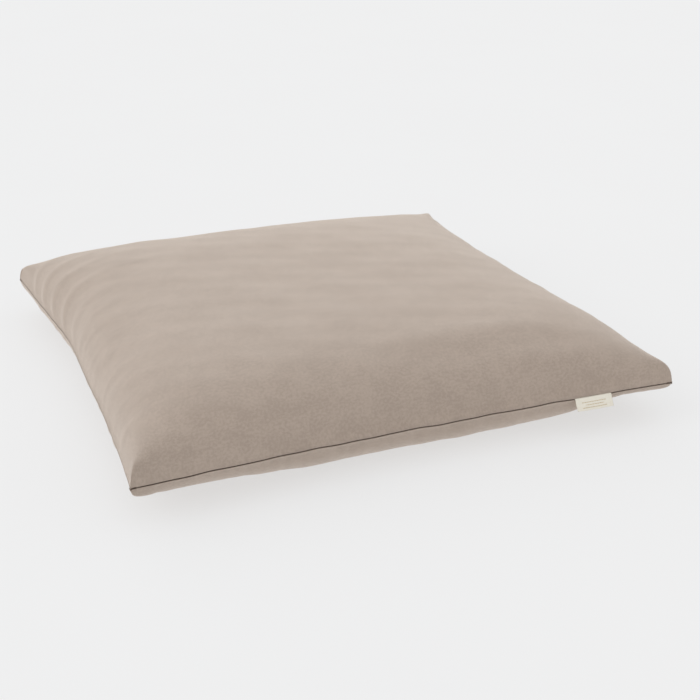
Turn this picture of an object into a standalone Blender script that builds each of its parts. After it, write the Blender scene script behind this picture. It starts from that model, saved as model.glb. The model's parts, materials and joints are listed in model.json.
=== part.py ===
"""Floor cushion: a square knife-edge cover, zipped along its back seam, around a fibre-filled inner case.

Metres, +Z up. X runs along the front seam, which carries the woven label, and +Y points at the back seam, which
carries the zip. The origin is on the floor under the middle of the cushion. Along a seam, "inset" is the level
distance inwards from the seam line and "rise" is the height above it.
"""

import math

import bmesh
import bpy
from mathutils import Matrix, Vector

# The filled cushion
SIDE = 0.700  # corner to corner along one seam
SEAM_HEIGHT = 0.0455  # the seam above the floor, at the middle of a side
CORNER_LIFT = 0.005  # how much higher the seam runs at the corners
CROWN = 0.082  # the middle of the top panel above the seam
DROP = 0.061  # how far the bottom panel would bulge below the seam, if the floor didn't flatten it
SIDE_PULL = 0.018  # how far the filling draws in the middle of a side
ZIP_DRAW = 0.17  # the same on the zip's side, as a share of the free seam past each end of the zip
EDGE_POWER = 5.1  # the higher, the flatter the top and the steeper its edges
EDGE_ROUND = 0.47
CORNER_BLUNT = 0.35  # how much fuller the corners are than the product of two edges
RINGS = 8  # rows of facets from an edge to the middle
RING_GRADE = 2.3  # the higher, the finer the rows at the edge

# The cover's cloth and its seams
CLOTH = 0.0010
SEAM_GAP = 0.0003  # between the two sewn layers
ALLOWANCE = 0.012  # the cloth turned in past the seam
OVERLOCK_LAP = 0.003  # how much of the raw edges the overlock threads wrap
OVERLOCK_THREAD = 0.0005
OVERLOCK_END = 0.018  # how far from a corner each overlocked edge stops

# The zip
ZIP_OPENING = 0.500
ZIP_SLIT = 0.002
ZIP_BLEND = 0.008  # the length over which the hems at the slit turn into the sewn allowances
ZIP_RUN_OUT = 0.030  # the seam stays straight this far past each end of the opening
HEM_DEPTH = 0.012
PLATE_ROOM = 0.0013  # between a hem's folded edge and the slider's front plate
TAPE_THICKNESS = 0.0005
TAPE_WIDTH = 0.0118
TAPE_MARGIN = 0.0005  # between a tape's end and the end of the hem that it is sewn to
COIL_SPACE = 0.0012  # between the two coils
COIL_WIDTH = 0.0022
COIL_THICKNESS = 0.0011
ZIP_TAIL = 0.012  # tape past each end of the coils
STOP_LENGTH = 0.004
STOP_PROUD = 0.0010  # how far a stop stands out past its coil
SLIDER_LENGTH = 0.011
SLIDER_HEIGHT = 0.0072
PLATE_THICKNESS = 0.0008
NECK_LENGTH = 0.0025
WIRE = 0.0012  # the bail's wire and the pull's thickness
BAIL_REACH = 0.0034  # how far the bail stands out past the seam
EYE_WIDTH = 0.003
EYE_WALL = 0.001
PULL_LENGTH = 0.024
PULL_WIDTH = 0.007
PULL_HOLE_RADIUS = 0.0014

# The labels
LABEL_LENGTH = 0.050
LABEL_DROP = 0.016
LABEL_THICKNESS = 0.0008
LABEL_TILT = 25  # degrees that the flap stands out from hanging straight down
LABEL_PLACE = 0.239  # from the middle of the front seam to the label's middle
LABEL_MARGIN = 0.0015  # between its sewn end and the overlock
LABEL_BEND = 0.0002  # how far the tail shows past the seam
CARE_LENGTH = 0.022
CARE_WIDTH = 0.030
CARE_THICKNESS = 0.0004
CARE_PLACE = -0.105  # along the left seam, from its middle
CARE_MARGIN = 0.0006  # how far inside the overlock's mouth it hangs
CARE_SPACE = 0.0015  # between its free end and the cover

# The inner case and its filling
CASE_CLOTH = 0.0006
CASE_MARGIN = 0.0017  # between the overlock and the case's seam
FILL_EDGE = 0.0010  # height of the filling's blunt edge

# Clearances
CLEAR = 0.0003  # pieces that lie together
CLOTH_CLEAR = 0.0004  # the cover over the case
RUN_CLEAR = 0.0004  # the bail between the eye and the slit

HALF = SIDE / 2
ZIP_HALF = ZIP_OPENING / 2
ZIP_PULL = ZIP_DRAW * (HALF - ZIP_HALF - ZIP_RUN_OUT)
COIL_HALF = ZIP_HALF - ZIP_TAIL
FOLD_EDGE = 2 * CLOTH  # inset of a folded or sewn edge's inner face: two layers of cloth
OVERLOCK_MOUTH = ALLOWANCE - OVERLOCK_LAP
COIL_INSET = FOLD_EDGE + PLATE_ROOM + PLATE_THICKNESS + CLEAR
TAPE_INSET = COIL_INSET + COIL_THICKNESS + CLEAR
LABEL_SEWN = OVERLOCK_MOUTH - LABEL_MARGIN
CARE_INSET = OVERLOCK_MOUTH + CARE_MARGIN
CASE_SETBACK = ALLOWANCE + CLEAR + OVERLOCK_THREAD + CASE_MARGIN
ZIP_Y = HALF - ZIP_PULL  # the seam line on the zip's side
TRAVEL = 2 * (COIL_HALF - CLEAR) - SLIDER_LENGTH
CASE_DEPTH = CLOTH + CLOTH_CLEAR
FILL_DEPTH = CASE_DEPTH + CASE_CLOTH + CLEAR
FILL_SETBACK = CASE_SETBACK + CASE_CLOTH + CLEAR

CLOTH_TAUPE = (0.445, 0.371, 0.319)
THREAD_TAUPE = (0.36, 0.295, 0.25)
TAPE_TAUPE = (0.33, 0.27, 0.225)
COIL_TAUPE = (0.27, 0.22, 0.185)
CREAM = (0.86, 0.81, 0.70)
WHITE = (0.82, 0.82, 0.80)
NICKEL = (0.62, 0.60, 0.57)


# ---------------------------------------------------------------- helpers

def clear_scene():
    for obj in list(bpy.data.objects):
        bpy.data.objects.remove(obj, do_unlink=True)


def material(name, colour, roughness, metallic=0.0):
    mat = bpy.data.materials.get(name)
    if mat is None:
        mat = bpy.data.materials.new(name)
        mat.use_nodes = True
        shader = mat.node_tree.nodes["Principled BSDF"]
        shader.inputs["Base Color"].default_value = (*colour, 1.0)
        shader.inputs["Roughness"].default_value = roughness
        shader.inputs["Metallic"].default_value = metallic
    return mat


def add_object(name, points, faces, mat, smooth_angle=None):
    mesh = bpy.data.meshes.new(name)
    mesh.from_pydata([tuple(p) for p in points], [], faces)
    bm = bmesh.new()
    bm.from_mesh(mesh)
    bmesh.ops.recalc_face_normals(bm, faces=bm.faces)
    bm.to_mesh(mesh)
    bm.free()
    if smooth_angle is not None:
        mesh.shade_smooth()
        mesh.set_sharp_from_angle(angle=math.radians(smooth_angle))
    obj = bpy.data.objects.new(name, mesh)
    bpy.context.collection.objects.link(obj)
    mesh.materials.append(mat)
    return obj


def box(name, low, high, mat, frame=None):
    xs, ys, zs = zip(low, high)
    corners = [Vector((x, y, z)) for z in zs for y in ys for x in xs]
    if frame is not None:
        corners = [frame @ c for c in corners]
    faces = [(0, 2, 3, 1), (4, 5, 7, 6), (0, 1, 5, 4), (2, 6, 7, 3), (0, 4, 6, 2), (1, 3, 7, 5)]
    return add_object(name, corners, faces, mat)


def as_tool(obj):
    obj.hide_render = True
    obj.display_type = "WIRE"
    return obj


def boolean(obj, tool, operation):
    modifier = obj.modifiers.new(tool.name, "BOOLEAN")
    modifier.operation = operation
    modifier.solver = "EXACT"
    modifier.object = as_tool(tool)


def put_origin(obj, point):
    """Moves an object's origin to a point without moving its shape."""
    obj.data.transform(Matrix.Translation(-Vector(point)))
    obj.location = point


# ---------------------------------------------------------------- the cushion's form

def corner_rise(u, v):
    """0 at the middle of the front and back seams, 1 at the corners, and 0 along the whole of the zip."""
    straight = (ZIP_HALF + ZIP_RUN_OUT) / HALF * max(0.0, v) ** 6
    return max(0.0, (abs(u) - straight) / (1 - straight)) ** 2


def plan_point(u, v, inset=0.0):
    """Plan position for u and v from -1 to 1, on the outline when either is at its end."""
    pull = SIDE_PULL + (ZIP_PULL - SIDE_PULL) * max(0.0, v) ** 2
    x = u * (HALF - SIDE_PULL * (1 - v * v) - inset)
    y = v * (HALF - pull * (1 - corner_rise(u, v)) - inset)
    return x, y


def seam_level(u, v):
    return SEAM_HEIGHT + CORNER_LIFT * corner_rise(u, v) * v * v


def fullness(u, v):
    """1 in the middle and 0 at the seams, rising steeply from them."""
    edges = (1 - abs(u) ** EDGE_POWER) * (1 - abs(v) ** EDGE_POWER)
    return edges ** (EDGE_ROUND * (1 - CORNER_BLUNT * abs(u * v) ** 6))


def skin_point(u, v, side, inset=0.0, depth=0.0):
    """A point of a layer of the cushion: side is 1 for the top and -1 for the bottom, depth its level below the
    outside, and inset the distance of its seam from the outside seam."""
    x, y = plan_point(u, v, inset)
    if side > 0:
        z = seam_level(u, v) + (CROWN - depth) * fullness(u, v)
    else:
        z = max(depth, seam_level(u, v) - (DROP - depth) * fullness(u, v))
    return Vector((x, y, z))


def seam_point(u, v, inset, rise):
    return Vector((*plan_point(u, v, inset), seam_level(u, v) + rise))


def steps(extra=()):
    """Grid values from -1 to 1, closer together towards the ends."""
    graded = [1 - (k / RINGS) ** RING_GRADE for k in range(RINGS + 1)]
    return sorted({s * g for g in (*graded, *extra) for s in (1, -1)} | {0.0})


COLUMNS = steps((ZIP_HALF / HALF, (ZIP_HALF + ZIP_BLEND) / HALF))
ROWS = steps()


def outline():
    """Grid indices once round the edge."""
    last_i, last_j = len(COLUMNS) - 1, len(ROWS) - 1
    front = [(i, 0) for i in range(last_i)]
    right = [(last_i, j) for j in range(last_j)]
    back = [(i, last_j) for i in range(last_i, 0, -1)]
    left = [(0, j) for j in range(last_j, 0, -1)]
    return front + right + back + left


def on_zip(i, j):
    return j == len(ROWS) - 1 and abs(COLUMNS[i]) <= ZIP_HALF / HALF + 1e-9


def grid_faces(index):
    """Triangles of a grid, with each cell's diagonal pointing at the nearest corner."""
    faces = []
    for i in range(len(COLUMNS) - 1):
        for j in range(len(ROWS) - 1):
            a, b, c, d = index[i, j], index[i + 1, j], index[i + 1, j + 1], index[i, j + 1]
            towards = (COLUMNS[i] + COLUMNS[i + 1]) * (ROWS[j] + ROWS[j + 1]) > 0
            faces += [(a, b, c), (a, c, d)] if towards else [(a, b, d), (b, c, d)]
    return faces


def ring_faces(lower, upper):
    """Triangles between two rings, cut the same way in every piece, so that mating faces stay parallel."""
    faces = []
    for k in range(len(lower)):
        n = (k + 1) % len(lower)
        faces += [(lower[k], lower[n], upper[n]), (lower[k], upper[n], upper[k])]
    return faces


# ---------------------------------------------------------------- cover panels

def wall_inset(place, side, rise):
    """How far in a panel's outer facets stand at a height. place turns a grid value into (u, v)."""
    edge = seam_point(*place(ROWS[-1]), 0, 0)
    start, start_rise = 0.0, 0.0
    for value in reversed(ROWS[:-1]):
        point = skin_point(*place(value), side)
        inset, point_rise = (point.xy - edge.xy).length, side * (point.z - edge.z)
        if point_rise >= rise:
            return start + (inset - start) * (rise - start_rise) / (point_rise - start_rise)
        start, start_rise = inset, point_rise
    return start


def panel_ring(i, j, side):
    """The turned-in edge at one outline point: fold, inner lower, inner upper, root, as (inset, rise)."""
    if on_zip(i, j):
        wall, slit = wall_inset(lambda v: (COLUMNS[i], v), side, HEM_DEPTH), ZIP_SLIT / 2
        return ((0.0, slit), (FOLD_EDGE, slit), (TAPE_INSET - CLEAR, HEM_DEPTH), (wall + CLOTH, HEM_DEPTH))
    low, high = SEAM_GAP / 2, SEAM_GAP / 2 + CLOTH
    return ((0.0, low), (ALLOWANCE, low), (ALLOWANCE, high), (FOLD_EDGE, high))


def cover_panel(name, side):
    """One square of cloth: outside, turned-in allowance or zip hem, and inside."""
    points, outer, inner = [], {}, {}
    edge = outline()
    rings = [[], [], [], []]
    for i, j in edge:
        u, v = COLUMNS[i], ROWS[j]
        for ring, (inset, rise) in zip(rings, panel_ring(i, j, side)):
            ring.append(len(points))
            points.append(seam_point(u, v, inset, side * rise))
    for place, (i, j) in enumerate(edge):
        outer[i, j] = rings[0][place]
        inner[i, j] = rings[3][place]
    for i in range(1, len(COLUMNS) - 1):
        for j in range(1, len(ROWS) - 1):
            u, v = COLUMNS[i], ROWS[j]
            outer[i, j] = len(points)
            points.append(skin_point(u, v, side))
            inner[i, j] = len(points)
            points.append(skin_point(u, v, side, CLOTH, CLOTH))
    faces = grid_faces(outer) + [f[::-1] for f in grid_faces(inner)]
    for lower, upper in zip(rings, rings[1:]):
        faces += ring_faces(lower, upper)
    return add_object(name, points, faces, material("brushed_cotton", CLOTH_TAUPE, 0.9), 40)


# ---------------------------------------------------------------- pieces swept along a seam

def seam_stations(start, end, values):
    return [start] + [s for s in values if start + 1e-6 < s < end - 1e-6] + [end]


def sweep(name, profile, along, mat):
    """A closed profile of (inset, rise) points carried along seam positions (u, v)."""
    points = [seam_point(u, v, inset, rise) for u, v in along for inset, rise in profile]
    size = len(profile)
    faces = []
    for k in range(len(along) - 1):
        for p in range(size):
            q = (p + 1) % size
            faces.append((k * size + p, k * size + q, (k + 1) * size + q, (k + 1) * size + p))
    faces.append(tuple(range(size)))
    faces.append(tuple(range((len(along) - 1) * size, len(along) * size)))
    return add_object(name, points, faces, mat)


def overlocks():
    """Thread casings around the raw edges of the two allowances, one for each sewn stretch."""
    mouth, web = OVERLOCK_MOUTH, ALLOWANCE + CLEAR
    leg = SEAM_GAP / 2 + CLOTH + CLEAR
    back, top = web + OVERLOCK_THREAD, leg + OVERLOCK_THREAD
    profile = [(mouth, leg), (web, leg), (web, -leg), (mouth, -leg)]
    profile += [(mouth, -top), (back, -top), (back, top), (mouth, top)]
    end = 1 - OVERLOCK_END / HALF
    zip_end = (ZIP_HALF + ZIP_BLEND) / HALF
    mat = material("overlock_thread", THREAD_TAUPE, 0.85)
    runs = {
        "overlock_front": [(s, -1) for s in seam_stations(-end, end, COLUMNS)],
        "overlock_right": [(1, s) for s in seam_stations(-end, end, ROWS)],
        "overlock_left": [(-1, s) for s in seam_stations(-end, end, ROWS)],
        "overlock_back_left": [(s, 1) for s in seam_stations(-end, -zip_end, COLUMNS)],
        "overlock_back_right": [(s, 1) for s in seam_stations(zip_end, end, COLUMNS)],
    }
    for name, along in runs.items():
        sweep(name, profile, along, mat)


def care_label():
    """A folded satin tab caught in the left seam, hanging inside between the cover and the case."""
    start = SEAM_GAP / 2 + CLOTH + 2 * CLEAR + OVERLOCK_THREAD
    centre = [(CARE_INSET, -start)]
    for drop in (start + CARE_LENGTH / 2, start + CARE_LENGTH):
        wall = wall_inset(lambda u: (-u, CARE_PLACE / HALF), -1, drop)
        centre.append((max(centre[-1][0], wall + CLOTH + CARE_SPACE), -drop))
    half = CARE_THICKNESS / 2
    profile = [(inset - half, rise) for inset, rise in centre]
    profile += [(inset + half, rise) for inset, rise in centre[::-1]]
    ends = [(CARE_PLACE + s * CARE_WIDTH / 2) / HALF for s in (-1, 1)]
    sweep("care_label", profile, [(-1, s) for s in ends], material("satin_label", WHITE, 0.45))


# ---------------------------------------------------------------- zip

def zip_box(name, along, inset, rise, mat):
    """A box given by its stretch along the zip, its inset and its rise from the seam line."""
    low = (along[0], ZIP_Y - inset[1], SEAM_HEIGHT + rise[0])
    high = (along[1], ZIP_Y - inset[0], SEAM_HEIGHT + rise[1])
    return box(name, low, high, mat)


def signed(side, low, high):
    return (low, high) if side > 0 else (-high, -low)


def zip_chain():
    """Tapes, coils and stops. The slider closes the zip towards -X."""
    tape = material("zip_tape", TAPE_TAUPE, 0.8)
    nylon = material("zip_nylon", COIL_TAUPE, 0.45)
    metal = material("zip_metal", NICKEL, 0.3, 1.0)
    tape_edge = COIL_SPACE / 2 + CLEAR
    coil = (COIL_INSET, COIL_INSET + COIL_THICKNESS)
    coil_rise = (COIL_SPACE / 2, COIL_SPACE / 2 + COIL_WIDTH)
    stop = (coil[0] - STOP_PROUD, coil[1])
    stop_start = COIL_HALF + CLEAR
    for name, side in (("upper", 1), ("lower", -1)):
        span = ZIP_HALF * (1 - TAPE_INSET / HALF) - TAPE_MARGIN
        back = TAPE_INSET + TAPE_THICKNESS
        zip_box(f"zip_tape_{name}", (-span, span), (TAPE_INSET, back),
                signed(side, tape_edge, tape_edge + TAPE_WIDTH), tape)
        zip_box(f"zip_coil_{name}", (-COIL_HALF, COIL_HALF), coil, signed(side, *coil_rise), nylon)
        zip_box(f"zip_top_stop_{name}", (-stop_start - STOP_LENGTH, -stop_start), stop,
                signed(side, *coil_rise), metal)
    both_coils = (-coil_rise[1], coil_rise[1])
    zip_box("zip_bottom_stop", (stop_start, stop_start + STOP_LENGTH), stop, both_coils, metal)


def zip_slider():
    """Two plates joined by a neck, at the end that leads when the zip closes, and a bail through the slit."""
    metal = material("zip_metal", NICKEL, 0.3, 1.0)
    front = (COIL_INSET - CLEAR - PLATE_THICKNESS, COIL_INSET - CLEAR)
    tape_back = TAPE_INSET + TAPE_THICKNESS
    rear = (tape_back + CLEAR, tape_back + CLEAR + PLATE_THICKNESS)
    start = -COIL_HALF + CLEAR
    middle = start + SLIDER_LENGTH / 2
    ends = (start, start + SLIDER_LENGTH)
    height = (-SLIDER_HEIGHT / 2, SLIDER_HEIGHT / 2)
    neck_half = COIL_SPACE / 2 - CLEAR
    bar = (-BAIL_REACH, -BAIL_REACH + WIRE)
    wire = (-WIRE / 2, WIRE / 2)
    leg = EYE_WIDTH / 2 + RUN_CLEAR
    overlap = PLATE_THICKNESS / 2

    slider = zip_box("zip_slider", ends, front, height, metal)
    parts = [zip_box("slider_rear_plate", ends, rear, height, metal)]
    neck = (ends[0] + overlap, ends[0] + overlap + NECK_LENGTH)
    through = (front[1] - overlap, rear[0] + overlap)
    parts.append(zip_box("slider_neck", neck, through, (-neck_half, neck_half), metal))
    for name, side in (("left", -1), ("right", 1)):
        across = [middle + s for s in signed(side, leg, leg + WIRE)]
        parts.append(zip_box(f"slider_bail_{name}", across, (bar[0], front[0] + overlap), wire, metal))
    between = (middle - leg - overlap, middle + leg + overlap)
    parts.append(zip_box("slider_bail_bar", between, bar, wire, metal))
    # The neck joins the plates first, so that each union after it has something to join.
    for part in (parts[1], parts[0], *parts[2:]):
        boolean(slider, part, "UNION")
    axis = Vector((middle, ZIP_Y + BAIL_REACH - WIRE / 2, SEAM_HEIGHT))
    put_origin(slider, (middle, ZIP_Y, SEAM_HEIGHT))
    return slider, axis


def cylinder_x(name, centre, radius, width, sides, mat):
    points, faces = [], []
    for side in (-1, 1):
        for k in range(sides):
            angle = 2 * math.pi * k / sides
            offset = Vector((side * width / 2, radius * math.cos(angle), radius * math.sin(angle)))
            points.append(centre + offset)
    for k in range(sides):
        n = (k + 1) % sides
        faces.append((k, n, sides + n, sides + k))
    faces += [tuple(range(sides))[::-1], tuple(range(sides, 2 * sides))]
    return add_object(name, points, faces, mat, 40)


def pull_outline(bore):
    """The pull's outline in its own plane: narrow at the eye, a rounded tab below."""
    neck = bore + EYE_WALL / 2
    shoulder = neck + 0.0030
    radius = PULL_WIDTH / 2
    end = PULL_LENGTH - radius
    right = [(EYE_WIDTH / 2, -neck), (EYE_WIDTH / 2, -shoulder)]
    arc = [(radius * math.cos(a), -end - radius * math.sin(a)) for a in (math.pi * k / 10 for k in range(11))]
    left = [(-x, z) for x, z in right[::-1]]
    return right + arc + left


def zip_puller(slider, axis):
    """The pull hangs from the bail's bar by its eye."""
    metal = material("zip_metal", NICKEL, 0.3, 1.0)
    bore = math.hypot(WIRE / 2, WIRE / 2) + CLEAR
    shape = pull_outline(bore)
    count = len(shape)
    points = [axis + Vector((x, side * WIRE / 2, z)) for side in (-1, 1) for x, z in shape]
    faces = [tuple(range(count)), tuple(range(count, 2 * count))[::-1]]
    faces += [(k, (k + 1) % count, count + (k + 1) % count, count + k) for k in range(count)]
    puller = add_object("zip_puller", points, faces, metal, 40)
    boolean(puller, cylinder_x("puller_eye", axis, bore + EYE_WALL, EYE_WIDTH, 20, metal), "UNION")
    boolean(puller, cylinder_x("puller_bore", axis, bore, 2 * EYE_WIDTH, 16, metal), "DIFFERENCE")
    hole = axis + Vector((0, 0, -PULL_LENGTH + PULL_WIDTH / 2))
    drill = cylinder_x("puller_hole", Vector((0, 0, 0)), PULL_HOLE_RADIUS, 4 * WIRE, 16, metal)
    drill.data.transform(Matrix.Translation(hole) @ Matrix.Rotation(math.pi / 2, 4, "Z"))
    boolean(puller, drill, "DIFFERENCE")
    put_origin(puller, axis)
    holder = bpy.data.objects.new("zip_slider_frame", None)
    bpy.context.collection.objects.link(holder)
    holder.location = (axis.x, ZIP_Y, SEAM_HEIGHT)
    for obj in (slider, puller):
        obj.parent = holder
        obj.location = obj.location - holder.location


# ---------------------------------------------------------------- woven label

def label_frame():
    """Axes at the front seam under the label: +X along the seam, +Y into the cushion, +Z up."""
    u = LABEL_PLACE / HALF
    here = seam_point(u, -1, 0, 0)
    along = (seam_point(u + 0.01, -1, 0, 0) - seam_point(u - 0.01, -1, 0, 0)).normalized()
    inwards = Vector((0, 0, 1)).cross(along).normalized()
    up = along.cross(inwards)
    frame = Matrix((along, inwards, up)).transposed().to_4x4()
    return Matrix.Translation(here) @ frame


def woven_label(panels):
    """A folded ribbon in two pieces, the tail caught in the seam and the flap that stands out over it."""
    ribbon = material("label_ribbon", CREAM, 0.6)
    frame = label_frame()
    half, thick = LABEL_LENGTH / 2, LABEL_THICKNESS / 2
    box("woven_label_tail", (-half, -LABEL_BEND, -thick), (half, LABEL_SEWN, thick), ribbon, frame)
    tilt = math.radians(LABEL_TILT)
    front = LABEL_BEND + CLOTH_CLEAR + thick * (math.cos(tilt) + math.sin(tilt))
    hinge = frame @ Matrix.Translation((0, -front, 0))
    flap = box("woven_label_flap", (-half, -thick, thick - LABEL_DROP), (half, thick, thick), ribbon,
               hinge @ Matrix.Rotation(-tilt, 4, "X"))
    put_origin(flap, hinge.translation)
    room = thick + CLEAR
    low = (-half - CLEAR, -front - LABEL_THICKNESS, -room)
    high = (half + CLEAR, LABEL_SEWN + CLEAR, room)
    pocket = box("label_pocket", low, high, ribbon, frame)
    for panel in panels:
        boolean(panel, pocket, "DIFFERENCE")


# ---------------------------------------------------------------- inner case and filling

def case_shell(name, side):
    """Half of the inner case, a thin cloth shell that meets the other half at the case's own seam."""
    points, outer, inner = [], {}, {}
    edge = set(outline())
    for i, u in enumerate(COLUMNS):
        for j, v in enumerate(ROWS):
            lift = Vector((0, 0, side * CLEAR / 2 if (i, j) in edge else 0.0))
            outer[i, j] = len(points)
            points.append(skin_point(u, v, side, CASE_SETBACK, CASE_DEPTH) + lift)
            inner[i, j] = len(points)
            points.append(skin_point(u, v, side, CASE_SETBACK + CASE_CLOTH, CASE_DEPTH + CASE_CLOTH) + lift)
    faces = grid_faces(outer) + [f[::-1] for f in grid_faces(inner)]
    faces += ring_faces([outer[k] for k in outline()], [inner[k] for k in outline()])
    add_object(name, points, faces, material("case_cloth", WHITE, 0.85), 40)


def fibre_fill():
    points, top, bottom = [], {}, {}
    edge = set(outline())
    for i, u in enumerate(COLUMNS):
        for j, v in enumerate(ROWS):
            for side, grid in ((1, top), (-1, bottom)):
                lift = Vector((0, 0, side * FILL_EDGE / 2 if (i, j) in edge else 0.0))
                grid[i, j] = len(points)
                points.append(skin_point(u, v, side, FILL_SETBACK, FILL_DEPTH) + lift)
    faces = grid_faces(top) + [f[::-1] for f in grid_faces(bottom)]
    faces += ring_faces([bottom[k] for k in outline()], [top[k] for k in outline()])
    add_object("fibre_fill", points, faces, material("fibre", WHITE, 0.95), 40)


# ---------------------------------------------------------------- assembly

clear_scene()
cover = [cover_panel("cover_top_panel", 1), cover_panel("cover_bottom_panel", -1)]
overlocks()
care_label()
zip_chain()
zip_puller(*zip_slider())
woven_label(cover)
case_shell("inner_case_top", 1)
case_shell("inner_case_bottom", -1)
fibre_fill()
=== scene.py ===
import json
import math

import bmesh
import bpy
import numpy as np
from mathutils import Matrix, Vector


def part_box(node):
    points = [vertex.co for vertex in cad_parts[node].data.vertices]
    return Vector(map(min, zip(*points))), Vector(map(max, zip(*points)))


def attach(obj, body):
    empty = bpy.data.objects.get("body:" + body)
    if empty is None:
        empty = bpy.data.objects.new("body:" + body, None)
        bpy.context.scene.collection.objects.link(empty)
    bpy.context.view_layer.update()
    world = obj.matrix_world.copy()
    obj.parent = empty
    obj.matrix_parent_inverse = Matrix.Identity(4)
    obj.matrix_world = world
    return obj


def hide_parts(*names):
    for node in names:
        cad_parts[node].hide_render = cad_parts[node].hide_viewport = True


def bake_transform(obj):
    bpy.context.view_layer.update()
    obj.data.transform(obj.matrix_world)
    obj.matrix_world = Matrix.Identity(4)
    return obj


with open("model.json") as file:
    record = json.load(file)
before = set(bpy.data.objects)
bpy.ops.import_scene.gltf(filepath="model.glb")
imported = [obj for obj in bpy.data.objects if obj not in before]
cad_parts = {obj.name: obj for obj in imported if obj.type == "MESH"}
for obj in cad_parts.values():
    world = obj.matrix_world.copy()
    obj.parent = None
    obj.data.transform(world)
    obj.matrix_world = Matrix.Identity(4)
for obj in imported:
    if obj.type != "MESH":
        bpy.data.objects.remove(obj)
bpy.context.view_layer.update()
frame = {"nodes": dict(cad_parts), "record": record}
nodes = frame["nodes"]


# -------------------------------------------------------------- cover, its form
# The cover is two squares of brushed cotton sewn face to face, turned and stuffed. Filling rounds it up from
# the seams, draws the sides in between the corners, and the floor flattens its underside. These are the
# shapes that the cloth is stretched over; the creases come after them.

cover_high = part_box("cover_top_panel")[1]
HALF = cover_high.x
SEAM_HEIGHT = (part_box("zip_coil_upper")[0].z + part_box("zip_coil_lower")[1].z) / 2
CROWN = cover_high.z - SEAM_HEIGHT
DROP = 0.061
CORNER_LIFT = 0.005
SIDE_PULL = 0.018
ZIP_HALF = 0.250
ZIP_FREE = 0.070  # sewn seam between the straight stretch of the zip and the corner
ZIP_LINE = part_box("zip_tape_upper")[1].y + 0.0058
EDGE_POWER, EDGE_ROUND, CORNER_BLUNT = 5.1, 0.47, 0.35


def corner_rise(u, v):
    straight = (1 - ZIP_FREE / HALF) * np.maximum(0, v) ** 6
    return np.maximum(0, (np.abs(u) - straight) / (1 - straight)) ** 2


def plan_points(u, v, inset=0.0):
    rise = corner_rise(u, v)
    pull = SIDE_PULL + (HALF - ZIP_LINE - SIDE_PULL) * np.maximum(0, v) ** 2
    x = u * (HALF - SIDE_PULL * (1 - v * v) - inset)
    y = v * (HALF - pull * (1 - rise) - inset)
    return x, y


def seam_level(u, v):
    return SEAM_HEIGHT + CORNER_LIFT * corner_rise(u, v) * v * v


def fullness(u, v):
    edges = np.clip((1 - np.abs(u) ** EDGE_POWER) * (1 - np.abs(v) ** EDGE_POWER), 0, 1)
    return edges ** (EDGE_ROUND * (1 - CORNER_BLUNT * np.abs(u * v) ** 6))


def stuffed_form(u, v, side, inset=0.0, depth=0.0):
    """Points of a layer of the cushion, depth inside the cover. side is 1 on top and -1 below."""
    x, y = plan_points(u, v, inset)
    full = fullness(u, v)
    if side > 0:
        z = seam_level(u, v) + (CROWN - depth) * full
    else:
        z = np.maximum(depth, seam_level(u, v) - (DROP - depth) * full)
    return np.stack([x, y, z], -1)


def even_steps(count, inset=0.0, depth=0.0):
    """Grid values from -1 to 1, even along the cloth across the top, and the cloth's length there."""
    fine = 1 - np.linspace(1, 0, 4001) ** 3
    line = stuffed_form(fine, np.zeros_like(fine), 1, inset, depth)
    length = np.concatenate([[0], np.cumsum(np.linalg.norm(np.diff(line, axis=0), axis=1))])
    half = np.interp(np.linspace(0, length[-1], count // 2 + 1), length, fine)
    half[-1] = 1
    return np.concatenate([-half[:0:-1], half]), 2 * length[-1]


def smooth_step(value, low, high):
    t = np.clip((value - low) / (high - low), 0, 1)
    return t * t * (3 - 2 * t)


def grid_normals(points):
    normal = np.cross(np.gradient(points, axis=0), np.gradient(points, axis=1))
    return normal / np.maximum(np.linalg.norm(normal, axis=-1, keepdims=True), 1e-12)


# ----------------------------------------------------------- cover, its creases
# Stretched cotton still folds where it is drawn up: short gathers that start at the seams, longer folds over
# the left of the back, a soft swell across the front, and a wall that flares out towards the front seam.

def soft_ripple(x, y, seed, shortest, longest, waves=14):
    """Gentle unevenness about 1 high, from waves of many directions."""
    rng = np.random.default_rng(seed)
    total = np.zeros(np.broadcast(x, y).shape)
    for _ in range(waves):
        angle, phase = rng.uniform(0, 2 * math.pi, 2)
        turn = 2 * math.pi / rng.uniform(shortest, longest)
        total = total + np.sin(turn * (x * math.cos(angle) + y * math.sin(angle)) + phase)
    return total / math.sqrt(waves / 2)


def hump(distance, width):
    return np.exp(-(distance / width) ** 2)


def gathers(along, away, places, reach, width, lean=0.0):
    """Short folds that start at a seam and die out into the cloth, from the place and height of each."""
    folds = np.zeros(np.shape(along))
    bend = lean * (1 - np.exp(-away / 0.06))
    for place, height in places:
        folds = folds + height * hump(along - place - bend, width)
    return folds * (1 - np.exp(-away / 0.005)) * np.exp(-away / reach)


def scattered(seed, low, high, spacing, height):
    """Uneven places for gathers, with uneven heights up to the one given."""
    rng = np.random.default_rng(seed)
    count = int((high - low) / spacing)
    spread = (high - low) / count
    return [(low + spread * (k + rng.uniform(0.1, 0.9)), height * rng.uniform(0.25, 1)) for k in range(count)]


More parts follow.
